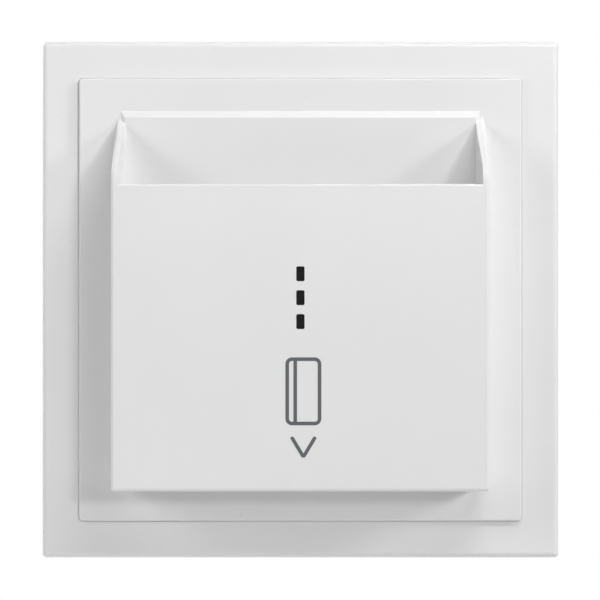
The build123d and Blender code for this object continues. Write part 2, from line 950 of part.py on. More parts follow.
def lever_spring():
    """A torsion spring: a straight leg, the coil and a second straight leg, as one tube."""
    length = spring_outer_x() - spring_inner_x()
    pitch = length / spring_turns
    coil = Edge.make_helix(pitch, length, spring_radius, lefthand=True)
    slope = hypot(2 * pi * spring_radius, pitch)
    rise, run = pitch / slope, 2 * pi * spring_radius / slope
    end = -2 * pi * spring_turns
    start_point = Vector(spring_radius, 0, 0)
    end_point = Vector(spring_radius * cos(end), spring_radius * sin(end), length)
    start_way = Vector(0, -run, rise)
    end_way = Vector(run * sin(end), -run * cos(end), rise)
    legs = [
        Edge.make_line(start_point - start_way * spring_leg, start_point),
        Edge.make_line(end_point, end_point + end_way * spring_rest_leg),
    ]
    path = Wire([legs[0], coil, legs[1]])
    section = Plane(origin=path @ 0, z_dir=path % 0) * Circle(spring_wire / 2)
    tube = sweep(section, path=path)
    place = Plane(origin=(spring_inner_x(), pivot_y, pivot_z), x_dir=(0, -1, 0), z_dir=(1, 0, 0))
    print("lever spring: gap between turns", round(pitch * run - spring_wire, 3))
    return place.location * tube


# Light


def light_pipe():
    """A clear block with a narrow foot at the lamp and a tall face behind the windows."""
    foot_y = board_face - led_base - led_height - seat_gap
    face_y = panel_face + pipe_sunk
    foot = (led_z - pipe_foot / 2, led_z + pipe_foot / 2)
    face = (window_centre - pipe_height / 2, window_centre + pipe_height / 2)
    flange_low = min(foot[0], face[0]) - pipe_flange_margin
    flange_high = max(foot[1], face[1]) + pipe_flange_margin
    pipe = span((-pipe_width / 2, pipe_width / 2), (face_y, lid_face), face)
    pipe += span((-pipe_width / 2, pipe_width / 2), (lid_face - pipe_flange, foot_y), foot)
    pipe += span((-pipe_flange_width / 2, pipe_flange_width / 2), (lid_face - pipe_flange, lid_face),
                 (flange_low, flange_high))
    return pipe


def circuit_board():
    board = slab(Rectangle(board_width, board_top - board_bottom), board_face, board_rear)
    board = Pos(0, 0, (board_top + board_bottom) / 2) * board
    return chamfer(board.edges().filter_by(Axis.Y), board_shelf_wall / 2)


def indicator_led():
    base = along_y(led_base_radius, board_face - led_base, board_face, 0, led_z)
    dome_y = board_face - led_base - led_height + led_radius
    body = along_y(led_radius, dome_y, board_face - led_base, 0, led_z)
    return base + body + Pos(0, dome_y, led_z) * Sphere(led_radius)


def component(radius, length, z):
    """A round component that lies behind the board, on two bent legs."""
    y = board_rear + seat_gap + radius
    half = length / 2
    body = along_x(radius, -half, half, y, z)
    for sign in (-1, 1):
        low, high = sorted((0.0, sign * (half + component_lead_reach)))
        body += along_x(component_lead, low, high, y, z)
        x = sign * (half + component_lead_reach - component_lead)
        body += along_y(component_lead, board_rear, y + component_lead, x, z)
    return body


def board_resistor():
    return component(resistor_radius, resistor_length, resistor_z)


def board_diode():
    return component(diode_radius, diode_length, diode_z)


def lead(side, end_x):
    """An insulated lead from the board round the contact unit down to a terminal."""
    points = [
        (side * lead_x, board_rear, lead_z),
        (side * lead_x, lead_y, lead_z),
        (side * lead_x, lead_y, lead_drop_z),
        (end_x, lead_y, lead_drop_z),
        (end_x, lead_y, terminal_top),
    ]
    path = FilletPolyline(*points, radius=lead_bend)
    section = Plane(origin=path @ 0, z_dir=path % 0) * Circle(lead_radius)
    return sweep(section, path=path)


# Contact unit


def switch_case():
    half = switch_width / 2
    case = span((-half, half), (switch_front, switch_rear), (switch_bottom, switch_roof))
    case -= span((-half + switch_side_wall, half - switch_side_wall),
                 (switch_front + switch_wall, switch_rear - switch_side_wall),
                 (switch_floor, switch_roof + overrun))
    room = plunger_gap
    case -= span((-plunger_width / 2 - room, plunger_width / 2 + room),
                 (switch_front - overrun, switch_front + switch_wall + overrun),
                 (plunger_z - plunger_height / 2 - room, plunger_z + plunger_height / 2 + room))
    stub = along_y(spring_stub_radius, switch_rear - switch_side_wall - spring_stub_length,
                   switch_rear - switch_side_wall / 2, blade_spring_x, blade_z)
    case += stub
    for x, y in (line_riser_place(), load_riser_place()):
        case -= span((x - strip_width / 2 - room, x + strip_width / 2 + room),
                     (y - room, y + strip_wall + room),
                     (switch_bottom - overrun, switch_floor + overrun))
    return case


def switch_lid():
    """The lid, with two legs that snap under the case."""
    half = switch_width / 2
    lid = span((-half, half), (switch_front, switch_rear), (switch_roof, switch_z))
    y_low = switch_front + switch_wall
    inner = half + seat_gap
    outer = inner + snap_leg
    foot = switch_bottom - seat_gap
    for sign in (-1, 1):
        points = [
            (sign * (half - seat_gap), switch_z),
            (sign * outer, switch_z),
            (sign * outer, foot - snap_hook_length),
            (sign * inner, foot - snap_hook_length),
            (sign * (inner - snap_hook - seat_gap), foot),
            (sign * inner, foot),
            (sign * inner, switch_roof),
            (sign * (half - seat_gap), switch_roof),
        ]
        outline = make_face(Polyline(*points, close=True))
        lid += slab(outline, y_low, y_low + snap_leg_width)
    return lid


def switch_plunger():
    half = plunger_width / 2
    plunger = span((-half, half), (plunger_tip, plunger_tail),
                   (plunger_z - plunger_height / 2, plunger_z + plunger_height / 2))
    plunger = fillet(plunger.faces().sort_by(Axis.Y)[0].edges(), plunger_round)
    tail = plunger.faces().sort_by(Axis.Y)[-1].edges().filter_by(Axis.Z)
    plunger = fillet(tail, plunger_tail_round)
    side = half + plunger_flange_side
    front = switch_front + switch_wall + seat_gap
    return plunger + span((-side, side), (front, front + plunger_flange),
                          (plunger_z - plunger_height / 2, plunger_z + plunger_height / 2))


def contact_blade():
    top = blade_bottom + blade_height
    bore = blade_pin_radius + blade_bore_gap
    blade = span((blade_pivot_x, blade_end_x), (blade_front, blade_rear), (blade_bottom, top))
    blade += along_z(bore + blade_eye_wall, blade_bottom, top, blade_pivot_x, blade_pivot_y)
    blade -= along_z(bore, blade_bottom - overrun, top + overrun, blade_pivot_x, blade_pivot_y)
    middle = (plunger_width / 2 + contact_x - contact_radius) / 2
    blade -= slab(Pos(middle, blade_z) * SlotOverall(blade_window_length, blade_window_height),
                  blade_front - overrun, blade_rear + overrun)
    return blade


def blade_pin():
    return along_z(blade_pin_radius, switch_floor + strip_wall, switch_roof - seat_gap,
                   blade_pivot_x, blade_pivot_y)


def blade_spring():
    """A coil spring between the blade and the case's rear wall."""
    front = blade_rear + blade_spring_wire / 2 + fine_gap
    rear = switch_rear - switch_side_wall - blade_spring_wire / 2 - fine_gap
    length = rear - front
    pitch = length / blade_spring_turns
    path = Edge.make_helix(pitch, length, blade_spring_radius)
    section = Plane(origin=path @ 0, z_dir=path % 0) * Circle(blade_spring_wire / 2)
    tube = sweep(section, path=Wire([path]))
    print("blade spring: gap between turns", round(pitch - blade_spring_wire, 3))
    place = Plane(origin=(blade_spring_x, front, blade_z), x_dir=(1, 0, 0), z_dir=(0, 1, 0))
    return place.location * tube


def moving_contact():
    return along_y(contact_radius, blade_rear, blade_rear + moving_contact_height, contact_x, blade_z)


def fixed_contact():
    return along_y(contact_radius, fixed_contact_face, load_strip_face, contact_x, blade_z)


def line_riser_place():
    """X and Y of the line strip where it passes through the case's floor."""
    wall = -switch_width / 2 + switch_side_wall + seat_gap
    return wall + strip_width / 2, blade_pivot_y + blade_eye_wall + 2 * strip_wall


def load_riser_place():
    """X and Y of the load strip where it passes through the case's floor."""
    return contact_x, load_strip_face


def line_strip():
    """A foot under the blade's pin, a riser through the case's floor and a pad on the terminal."""
    x, y = line_riser_place()
    low = terminal_top
    foot_end = blade_pivot_x + blade_pin_radius + blade_eye_wall
    foot = span((x - strip_width / 2, foot_end), (blade_front - strip_wall, y + strip_wall),
                (switch_floor, switch_floor + strip_wall))
    riser = span((x - strip_width / 2, x + strip_width / 2), (y, y + strip_wall),
                 (low, switch_floor + strip_wall))
    pad = span((x - strip_width / 2, x + strip_width / 2), (y, y + strip_pad_length),
               (low, low + strip_wall))
    return foot + riser + pad


def load_strip():
    """A riser that carries the fixed contact, and a pad on the terminal."""
    x, y = load_riser_place()
    low = terminal_top
    top = blade_z + contact_radius + fine_gap
    riser = span((x - strip_width / 2, x + strip_width / 2), (y, y + strip_wall), (low, top))
    pad = span((x - strip_width / 2, terminal_pitch + strip_width / 2),
               (y + strip_wall - strip_pad_length, y + strip_wall), (low, low + strip_wall))
    return riser + pad


# Terminals


def terminal_screw_y():
    return floor_inner - wire_bore_depth / 2


def terminal(index):
    """A brass block with a blind bore for the wire and a threaded hole for the screw."""
    x = index * terminal_pitch
    block = span((x - terminal_width / 2, x + terminal_width / 2), (terminal_face, floor_inner),
                 (terminal_bottom, terminal_top))
    block = chamfer(block.edges().filter_by(Axis.Y), terminal_bevel)
    block -= along_y(wire_bore_radius, floor_inner - wire_bore_depth, floor_inner + overrun, x, wire_z)
    return block - along_z(terminal_screw_radius + terminal_screw_gap, terminal_bottom - overrun,
                           wire_z, x, terminal_screw_y())


def terminal_screws():
    """Clamping screws, driven from below."""
    head_top = terminal_bottom - seat_gap
    length = wire_z - wire_bore_radius - terminal_screw_short - head_top
    head_height = housing_wall - 2 * seat_gap
    one = screw(terminal_screw_radius, terminal_screw_head, head_height, length,
                screw_slot, screw_slot_depth)
    upright = Rot(90, 0, 0) * one
    return [Pos(i * terminal_pitch, terminal_screw_y(), head_top) * upright for i in (-1, 0, 1)]


nodes = {
    "outer_frame": outer_frame,
    "pocket_cover": pocket_cover,
    "indicator_lens": indicator_lens,
    "light_pipe": light_pipe,
    "support_plate": support_plate,
    "support_screws": support_screws,
    "mechanism_housing": mechanism_housing,
    "mechanism_cover": mechanism_cover,
    "cover_screws": cover_screws,
    "card_lever": card_lever,
    "lever_pin": lever_pin,
    "lever_spring": lever_spring,
    "circuit_board": circuit_board,
    "indicator_led": indicator_led,
    "board_resistor": board_resistor,
    "board_diode": board_diode,
    "line_lead": lambda: lead(-1, -terminal_pitch - lead_radius),
    "neutral_lead": lambda: lead(1, 0.0),
    "switch_case": switch_case,
    "switch_lid": switch_lid,
    "switch_plunger": switch_plunger,
    "contact_blade": contact_blade,
    "blade_pin": blade_pin,
    "blade_spring": blade_spring,
    "moving_contact": moving_contact,
    "fixed_contact": fixed_contact,
    "line_strip": line_strip,
    "load_strip": load_strip,
    "line_terminal": lambda: terminal(-1),
    "load_terminal": lambda: terminal(1),
    "neutral_terminal": lambda: terminal(0),
    "terminal_screws": terminal_screws,
}

os.makedirs("parts", exist_ok=True)
for name, make in nodes.items():
    made = make()
    if isinstance(made, list):
        made = Compound(children=[part.solid() for part in made])
    made.label = name
    export_step(made, f"parts/{name}.step")
print("plunger travel", round(plunger_travel, 3), "mm, blade swing", round(blade_swing, 3), "degrees")
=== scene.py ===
"""Looks of the hotel key card switch: finishes, the printed sign, light and camera.

Metres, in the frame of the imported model: X to the right, Y into the wall and Z up.
"""

import json
import math

import bmesh
import bpy
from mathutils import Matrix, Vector


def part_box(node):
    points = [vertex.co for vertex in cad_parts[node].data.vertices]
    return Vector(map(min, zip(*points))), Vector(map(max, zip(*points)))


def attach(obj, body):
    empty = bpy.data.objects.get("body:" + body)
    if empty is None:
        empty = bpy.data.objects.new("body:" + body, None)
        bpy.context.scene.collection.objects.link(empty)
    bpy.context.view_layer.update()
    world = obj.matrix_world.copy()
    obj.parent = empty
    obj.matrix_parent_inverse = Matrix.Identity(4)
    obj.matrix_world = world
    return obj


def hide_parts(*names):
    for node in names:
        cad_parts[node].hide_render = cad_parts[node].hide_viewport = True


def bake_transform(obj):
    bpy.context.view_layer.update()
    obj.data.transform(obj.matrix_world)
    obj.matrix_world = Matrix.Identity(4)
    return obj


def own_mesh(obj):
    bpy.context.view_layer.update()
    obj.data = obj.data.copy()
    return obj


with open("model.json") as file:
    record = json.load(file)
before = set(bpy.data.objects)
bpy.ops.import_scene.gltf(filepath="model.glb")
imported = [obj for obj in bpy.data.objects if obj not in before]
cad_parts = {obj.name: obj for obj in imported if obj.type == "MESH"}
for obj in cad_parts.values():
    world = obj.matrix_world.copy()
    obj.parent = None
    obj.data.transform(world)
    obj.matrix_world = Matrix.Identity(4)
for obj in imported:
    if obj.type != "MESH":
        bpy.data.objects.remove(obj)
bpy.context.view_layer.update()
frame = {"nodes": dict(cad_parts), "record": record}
nodes = frame["nodes"]

# Scale of the photograph
mm = 0.001
photo_middle = (300.4, 299.65)
pocket_pixel = 0.15377 * mm

# Camera
view_distance = 420 * mm
view_width = 95.25 * mm
sensor_width = 36.0
camera_offset = (-0.064 * mm, -0.056 * mm)

# Printed sign on the front of the pocket, in pixels of the photograph
card_left, card_right = 285.4, 321.3
card_top, card_bottom = 357.4, 425.3
card_corner = 6.5
stripe_middle = 295.2
arrow_left, arrow_point, arrow_right = 292.3, 303.4, 314.5
arrow_top, arrow_bottom = 438.3, 456.9
arrow_tip = 2.9
stroke = 3.6
ink_thickness = 0.02 * mm
corner_steps = 12

# Corners of the frame's opening
opening_gap = 0.1 * mm
corner_radius = 0.7 * mm
corner_depth = 2.5 * mm

# Springs: how far the blade turns in radians
blade_angle = 0.1848

# Lamps: place and size in metres, and power in watts
lamps = {
    "key_lamp": ((0.335, -0.685, 0.12), 0.08, 1.09),
    "top_lamp": ((0.055, -0.145, 0.165), 0.10, 0.18),
    "left_lamp": ((-0.25, -0.18, 0.08), 0.12, 0.29),
    "right_lamp": ((1.03, -0.41, 0.45), 0.25, 5.0),
    "edge_lamp": ((0.202, -0.113, 0.331), 0.12, 0.22),
    "rear_lamp": ((-0.36, 0.33, 0.24), 0.30, 2.4),
}
world_light = 0.05
floor_height = -0.10
floor_reach = 0.4
floor_shade = 0.78
floor_glow = 0.6
floor_fade = (0.16, 0.36)
floor_sides = 64


# Shader maths


class Value:
    """A socket in a sum. Each operation on it adds a Math node."""

    def __init__(self, finish, socket):
        self.finish = finish
        self.socket = socket

    def operate(self, operation, first, second=0.0):
        return self.finish.node("ShaderNodeMath", {"operation": operation}, {0: first, 1: second})

    def __add__(self, other):
        return self.operate("ADD", self, other)

    def __radd__(self, other):
        return self.operate("ADD", other, self)

    def __sub__(self, other):
        return self.operate("SUBTRACT", self, other)

    def __rsub__(self, other):
        return self.operate("SUBTRACT", other, self)

    def __mul__(self, other):
        return self.operate("MULTIPLY", self, other)

    def __rmul__(self, other):
        return self.operate("MULTIPLY", other, self)

    def __gt__(self, other):
        return self.operate("GREATER_THAN", self, other)

    def __lt__(self, other):
        return self.operate("LESS_THAN", self, other)

    def __abs__(self):
        return self.operate("ABSOLUTE", self)

    def __or__(self, other):
        return self.operate("MAXIMUM", self, other)


class Finish:
    """A material, or the world, that is built from nodes."""

    def __init__(self, name, kind="materials"):
        self.owner = getattr(bpy.data, kind).new(name)
        self.owner.use_nodes = True
        self.tree = self.owner.node_tree
        self.tree.nodes.clear()

    def outputs(self, kind, settings=None, sockets=None):
        """Adds a node and returns its outputs by name."""
        made = self.tree.nodes.new(kind)
        for name, setting in (settings or {}).items():
            setattr(made, name, setting)
        for name, given in (sockets or {}).items():
            if isinstance(given, Value):
                self.tree.links.new(given.socket, made.inputs[name])
            else:
                made.inputs[name].default_value = given
        return {socket.name: Value(self, socket) for socket in made.outputs if socket.enabled}

    def node(self, kind, settings=None, sockets=None, output=None):
        """Adds a node and returns one of its outputs, or else the first."""
        outputs = self.outputs(kind, settings, sockets)
        return outputs[output] if output else next(iter(outputs.values()), None)

    def places(self):
        """The place on the piece, in metres, as it was made."""
        return self.node("ShaderNodeTexCoord", output="Object")

    def stretched(self, scale):
        """The place on the piece, stretched along each axis."""
        return self.node("ShaderNodeMapping", {}, {"Vector": self.places(), "Scale": scale})

    def axes(self):
        """The place on the piece as three numbers in millimetres."""
        scaled = self.stretched((1 / mm, 1 / mm, 1 / mm))
        return self.outputs("ShaderNodeSeparateXYZ", {}, {"Vector": scaled}).values()

    def noise(self, size, detail=2.0, roughness=0.5, places=None):
        """Cloudy noise whose blots are about a given size in metres."""
        where = places or self.places()
        sockets = {"Vector": where, "Scale": 1 / size, "Detail": detail, "Roughness": roughness}
        return self.node("ShaderNodeTexNoise", {}, sockets)

    def cells(self, size, output="Color"):
        """Crystal-like cells of about a given size in metres."""
        sockets = {"Vector": self.places(), "Scale": 1 / size}
        return self.node("ShaderNodeTexVoronoi", {}, sockets, output)

    def blend(self, factor, first, second):
        """A colour between two others."""
        sockets = {0: factor, 6: first, 7: second}
        return self.node("ShaderNodeMix", {"data_type": "RGBA"}, sockets)

    def bump(self, height, depth):
        """A surface raised by a height of 0 to 1 times a depth in metres."""
        return self.node("ShaderNodeBump", {}, {"Height": height, "Distance": depth})

    def surface(self, **sockets):
        """The shader and the output. Spaces in the names of sockets are written as underscores."""
        named = {name.replace("_", " "): given for name, given in sockets.items()}
        shader = self.node("ShaderNodeBsdfPrincipled", {}, named)
        self.node("ShaderNodeOutputMaterial", {}, {"Surface": shader})
        return self.owner

    def seen(self):
        """1 for rays from the camera, in reflections and through glass, and 0 for plain light."""
        rays = self.outputs("ShaderNodeLightPath")
        return rays["Is Camera Ray"] + rays["Is Glossy Ray"] + rays["Is Transmission Ray"]

    def choice(self, factor, first, second):
        """One shader where the factor is 0 and another where it is 1."""
        return self.node("ShaderNodeMixShader", {}, {0: factor, 1: first, 2: second})


def grey(level):
    return (level, level, level, 1.0)


def shade(colour, factor):
    """A colour made lighter or darker."""
    return (*[channel * factor for channel in colour], 1.0)


# Finishes


def moulded_plastic(name, colour, grain=0.35 * mm, grain_depth=0.006 * mm, roughness=0.42,
                    variation=0.02, gloss=0.45):
    """Spark-textured moulding: fine grain, faint flow clouds and a few specks."""
    finish = Finish(name)
    clouds = finish.noise(14 * mm, 3.0)
    grit = finish.noise(grain, 3.0, 0.6)
    specks = finish.noise(1.7 * mm, 1.0) > 0.79
    clean = finish.blend(clouds, shade(colour, 1 - variation), shade(colour, 1 + variation))
    speckled = finish.blend(specks * 0.05, clean, grey(0.25))
    return finish.surface(
        Base_Color=speckled,
        Roughness=(grit - 0.5) * 0.12 + (clouds - 0.5) * 0.06 + roughness,
        Specular_IOR_Level=gloss,
        Normal=finish.bump(grit, grain_depth),
    )


# Y of the part of the lever's nose that cards rub, in millimetres
nose_face = -11.0


def lever_acetal(name, colour):
    """White acetal, polished by cards along the nose."""
    finish = Finish(name)
    across, along, up = finish.axes()
    grit = finish.noise(0.4 * mm, 2.0)
    streaks = finish.noise(1.0 * mm, 2.0, places=finish.stretched((6.0, 0.4, 0.4)))
    nose = along < nose_face
    return finish.surface(
        Base_Color=finish.blend(nose * streaks * 0.35, shade(colour, 1.0), shade(colour, 0.82)),
        Roughness=0.4 - nose * (0.14 * streaks + 0.08) + (grit - 0.5) * 0.05,
        Specular_IOR_Level=0.5,
        Normal=finish.bump(grit, 0.004 * mm),
    )


def smoked_acrylic(name, colour):
    """Glossy smoked acrylic, with faint swirls from moulding."""
    finish = Finish(name)
    swirls = finish.noise(2.5 * mm, 2.0)
    return finish.surface(
        Base_Color=finish.blend(swirls, shade(colour, 0.8), shade(colour, 1.3)),
        Roughness=swirls * 0.08 + 0.1,
        Specular_IOR_Level=0.12,
    )


def clear_acrylic(name, colour):
    """Clear light pipe with faint flow lines."""
    finish = Finish(name)
    flow = finish.noise(1.6 * mm, 2.0, places=finish.stretched((1.0, 0.25, 1.0)))
    return finish.surface(
        Base_Color=finish.blend(flow, shade(colour, 0.97), shade(colour, 1.03)),
        Roughness=flow * 0.15 + 0.05,
        Transmission_Weight=0.75,
        IOR=1.49,
    )


def galvanised_steel(name, colour):
    """Zinc spangle over pressed steel sheet."""
    finish = Finish(name)
    spangle = finish.node("ShaderNodeRGBToBW", {}, {0: finish.cells(2.6 * mm)})
    dull = finish.noise(9 * mm, 3.0)
    fine = finish.noise(0.25 * mm, 2.0)
    return finish.surface(
        Base_Color=finish.blend(spangle, shade(colour, 0.86), shade(colour, 1.1)),
        Metallic=0.95 - dull * 0.1,
        Roughness=spangle * 0.16 + dull * 0.14 + 0.22,
        Normal=finish.bump(fine, 0.004 * mm),
    )


def plated_steel(name, colour, roughness=0.28):
    """Bright zinc plating with fine turning lines and handling marks."""
    finish = Finish(name)
    lines = finish.noise(0.5 * mm, 3.0, places=finish.stretched((1.0, 9.0, 1.0)))
    marks = finish.noise(3.0 * mm, 3.0)
    return finish.surface(
        Base_Color=finish.blend(marks, shade(colour, 0.85), shade(colour, 1.08)),
        Metallic=1.0 - marks * 0.06,
        Roughness=lines * 0.16 + marks * 0.1 + roughness - 0.1,
        Normal=finish.bump(lines, 0.005 * mm),
    )


def drawn_wire(name, colour):
    """Oiled spring wire with fine drawing marks."""
    finish = Finish(name)
    marks = finish.noise(0.18 * mm, 3.0)
    oil = finish.noise(2.0 * mm, 2.0)
    return finish.surface(
        Base_Color=finish.blend(oil, shade(colour, 0.8), shade(colour, 1.05)),
        Metallic=1.0 - oil * 0.05,
        Roughness=marks * 0.2 + 0.2,
        Normal=finish.bump(marks, 0.003 * mm),
    )


def bright_metal(name, colour, tarnish, roughness=0.24):
    """Turned or rolled brass, bronze or silver with a little tarnish."""
    finish = Finish(name)
    stain = finish.noise(3.5 * mm, 4.0, 0.6)
    lines = finish.noise(0.35 * mm, 3.0, places=finish.stretched((8.0, 1.0, 1.0)))
    return finish.surface(
        Base_Color=finish.blend(stain, shade(colour, 1.0), shade(tarnish, 1.0)),
        Metallic=1.0 - stain * 0.08,
        Roughness=lines * 0.14 + stain * 0.16 + roughness - 0.1,
        Normal=finish.bump(lines, 0.003 * mm),
    )


# Copper tracks of the board, in millimetres
track_place, track_width = 9.0, 1.4
rail_places, rail_width = (11.2, 2.0), 1.0


def solder_resist(name, colour):
    """Green resist over copper tracks, which stand a little proud."""
    finish = Finish(name)
    across, along, up = finish.axes()
    tracks = abs(abs(across) - track_place) < track_width / 2
    rails = [abs(up - place) < rail_width / 2 for place in rail_places]
    copper = tracks | rails[0] | rails[1]
    weave = finish.noise(0.6 * mm, 2.0)
    plain = finish.blend(weave, shade(colour, 0.85), shade(colour, 1.1))
    return finish.surface(
        Base_Color=finish.blend(copper, plain, shade(colour, 1.7)),
        Roughness=weave * 0.1 + 0.22,
        Coat_Weight=copper * 0.2 + 0.3,
        Normal=finish.bump(copper * 0.8 + weave * 0.2, 0.03 * mm),
    )


def banded_body(name, colour, half_length, bands, wire):
    """A lacquered component with printed bands, on tinned wire legs."""
    finish = Finish(name)
    across, along, up = finish.axes()
    legs = abs(across) > half_length
    mottle = finish.noise(0.5 * mm, 2.0)
    paint = finish.blend(mottle, shade(colour, 0.92), shade(colour, 1.06))
    for place, half_width, band_colour in bands:
        band = abs(across - place) < half_width
        paint = finish.blend(band, paint, (*band_colour, 1.0))
    return finish.surface(
        Base_Color=finish.blend(legs, paint, (*wire, 1.0)),
        Metallic=legs * 0.95,
        Roughness=mottle * 0.1 + 0.25,
        Coat_Weight=(1.0 - legs) * 0.4,
        Normal=finish.bump(mottle, 0.01 * mm),
    )


def wire_insulation(name, colour):
    """Extruded insulation: soft gloss with faint drag lines."""
    finish = Finish(name)
    drag = finish.noise(0.7 * mm, 2.0)
    return finish.surface(
        Base_Color=finish.blend(drag, shade(colour, 0.9), shade(colour, 1.15)),
        Roughness=drag * 0.15 + 0.3,
        Specular_IOR_Level=0.5,
        Normal=finish.bump(drag, 0.01 * mm),
    )


def frosted_lamp(name, colour):
    """Diffuse epoxy of the lamp, with faint clouds."""
    finish = Finish(name)
    cloud = finish.noise(0.9 * mm, 2.0)
    return finish.surface(
        Base_Color=finish.blend(cloud, shade(colour, 0.93), shade(colour, 1.04)),
        Roughness=cloud * 0.15 + 0.2,
        Subsurface_Weight=0.3,
        Subsurface_Scale=1.0 * mm,
        Coat_Weight=0.4,
    )


def printed_ink(name, colour):
    """Pad-printed ink: thin, slightly uneven and less glossy than the plastic."""
    finish = Finish(name)
    pad = finish.noise(0.3 * mm, 3.0)
    return finish.surface(
        Base_Color=finish.blend(pad, shade(colour, 0.93), shade(colour, 1.07)),
        Roughness=pad * 0.1 + 0.45,
        Normal=finish.bump(pad, 0.003 * mm),
    )


tinned = (0.62, 0.62, 0.6)
resistor_bands = [
    (-2.1, 0.28, (0.75, 0.45, 0.03)),
    (-1.1, 0.28, (0.4, 0.02, 0.02)),
    (-0.1, 0.28, (0.45, 0.08, 0.01)),
    (1.9, 0.28, (0.6, 0.42, 0.1)),
]
diode_bands = [(-1.2, 0.3, (0.7, 0.7, 0.7))]

finishes = {
    "cover_plastic": moulded_plastic("cover_plastic", (0.805, 0.805, 0.805)),
    "smoked_lens": smoked_acrylic("smoked_lens", (0.01, 0.01, 0.011)),
    "clear_plastic": clear_acrylic("clear_plastic", (0.85, 0.9, 0.92)),
    "galvanised_steel": galvanised_steel("galvanised_steel", (0.6, 0.61, 0.62)),
    "screw_steel": plated_steel("screw_steel", (0.6, 0.6, 0.58)),
    "spring_steel": drawn_wire("spring_steel", (0.5, 0.5, 0.5)),
    "housing_plastic": moulded_plastic(
        "housing_plastic", (0.58, 0.59, 0.59), grain=0.5 * mm, grain_depth=0.01 * mm,
        roughness=0.48, variation=0.035,
    ),
    "lever_plastic": lever_acetal("lever_plastic", (0.8, 0.81, 0.81)),
    "switch_plastic": moulded_plastic(
        "switch_plastic", (0.045, 0.045, 0.05), grain=0.3 * mm, grain_depth=0.008 * mm,
        roughness=0.38, variation=0.12,
    ),
    "plunger_plastic": moulded_plastic(
        "plunger_plastic", (0.5, 0.09, 0.05), grain=0.3 * mm, grain_depth=0.005 * mm,
        roughness=0.35, variation=0.05,
    ),
    "board_laminate": solder_resist("board_laminate", (0.05, 0.2, 0.07)),
    "lamp_plastic": frosted_lamp("lamp_plastic", (0.85, 0.85, 0.8)),
    "resistor_body": banded_body("resistor_body", (0.63, 0.52, 0.36), 3.25, resistor_bands, tinned),
    "diode_body": banded_body("diode_body", (0.03, 0.03, 0.03), 2.0, diode_bands, tinned),
    "brown_insulation": wire_insulation("brown_insulation", (0.2, 0.09, 0.045)),
    "blue_insulation": wire_insulation("blue_insulation", (0.04, 0.14, 0.48)),
    "spring_bronze": bright_metal("spring_bronze", (0.72, 0.45, 0.27), (0.5, 0.28, 0.15)),
    "contact_silver": bright_metal("contact_silver", (0.86, 0.85, 0.82), (0.55, 0.52, 0.46), 0.2),
    "brass": bright_metal("brass", (0.78, 0.6, 0.28), (0.55, 0.4, 0.18)),
    "sign_ink": printed_ink("sign_ink", (0.092, 0.1, 0.108)),
}


def dress_nodes():
    """Each piece of the model takes the finish of its slot in the record."""
    for subpart in frame["record"]["subparts"]:
        mesh = nodes[subpart["node"]].data
        mesh.materials.clear()
        mesh.materials.append(finishes[subpart["material_slot"]])


# The printed sign


def on_pocket(across, down):
    """X and Z of a pixel of the photograph, on the front of the pocket."""
    return Vector(((across - photo_middle[0]) * pocket_pixel, (photo_middle[1] - down) * pocket_pixel))


def arc(centre, radius, start, end):
    """Points of an arc, between two angles in degrees."""
    angles = [math.radians(start + (end - start) * i / corner_steps) for i in range(corner_steps + 1)]
    return [centre + Vector((math.cos(a), math.sin(a))) * radius for a in angles]


def rounded_loop(low, high, radius):
    """A rectangle with round corners, anticlockwise from its lower left corner."""
    inner_low = low + Vector((radius, radius))
    inner_high = high - Vector((radius, radius))
    return (
        arc(inner_low, radius, 180, 270)
        + arc(Vector((inner_high.x, inner_low.y)), radius, 270, 360)
        + arc(inner_high, radius, 0, 90)
        + arc(Vector((inner_low.x, inner_high.y)), radius, 90, 180)
    )


def linked(name, data):
    """A new object in the scene."""
    made = bpy.data.objects.new(name, data)
    bpy.context.scene.collection.objects.link(made)
    return made


def linked_mesh(name, mesh, material):
    """A new object with a mesh and its material."""
    data = bpy.data.meshes.new(name)
    mesh.to_mesh(data)
    mesh.free()
    data.materials.append(material)
    return linked(name, data)


def add_piece(name, mesh, slot):
    """A piece of the scene that stays on the housing."""
    bmesh.ops.recalc_face_normals(mesh, faces=mesh.faces)
    piece = linked_mesh(name, mesh, finishes[slot])
    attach(piece, "housing")


def ink_piece(name, loops, faces):
    """A layer of ink on the pocket's front: the faces are lists of places in the loops joined up."""
    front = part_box("pocket_cover")[0][1]
    points = [point for loop in loops for point in loop]
    mesh = bmesh.new()
    outer = [mesh.verts.new((p.x, front - ink_thickness, p.y)) for p in points]
    inner = [mesh.verts.new((p.x, front, p.y)) for p in points]
    for face in faces:
        mesh.faces.new([outer[i] for i in face])
        mesh.faces.new([inner[i] for i in reversed(face)])
    first = 0
    for loop in loops:
        count = len(loop)
        for i in range(count):
            a, b = first + i, first + (i + 1) % count
            mesh.faces.new((outer[a], inner[a], inner[b], outer[b]))
        first += count
    add_piece(name, mesh, "sign_ink")


def card_outline():
    """The card's outline, as a ring between two rounded rectangles."""
    low = on_pocket(card_left, card_bottom)
    high = on_pocket(card_right, card_top)
    width = Vector((1, 1)) * stroke * pocket_pixel
    radius = card_corner * pocket_pixel
    outer = rounded_loop(low, high, radius)
    inner = rounded_loop(low + width, high - width, radius - stroke * pocket_pixel)
    count = len(outer)
    ring = [(i, (i + 1) % count, count + (i + 1) % count, count + i) for i in range(count)]
    ink_piece("card_sign_outline", [outer, inner], ring)


def card_stripe():
    """The line along the card, from edge to edge of its outline."""
    half = stroke / 2
    low = on_pocket(stripe_middle - half, card_bottom - stroke)
    high = on_pocket(stripe_middle + half, card_top + stroke)
    loop = [low, Vector((high.x, low.y)), high, Vector((low.x, high.y))]
    ink_piece("card_sign_stripe", [loop], [range(4)])


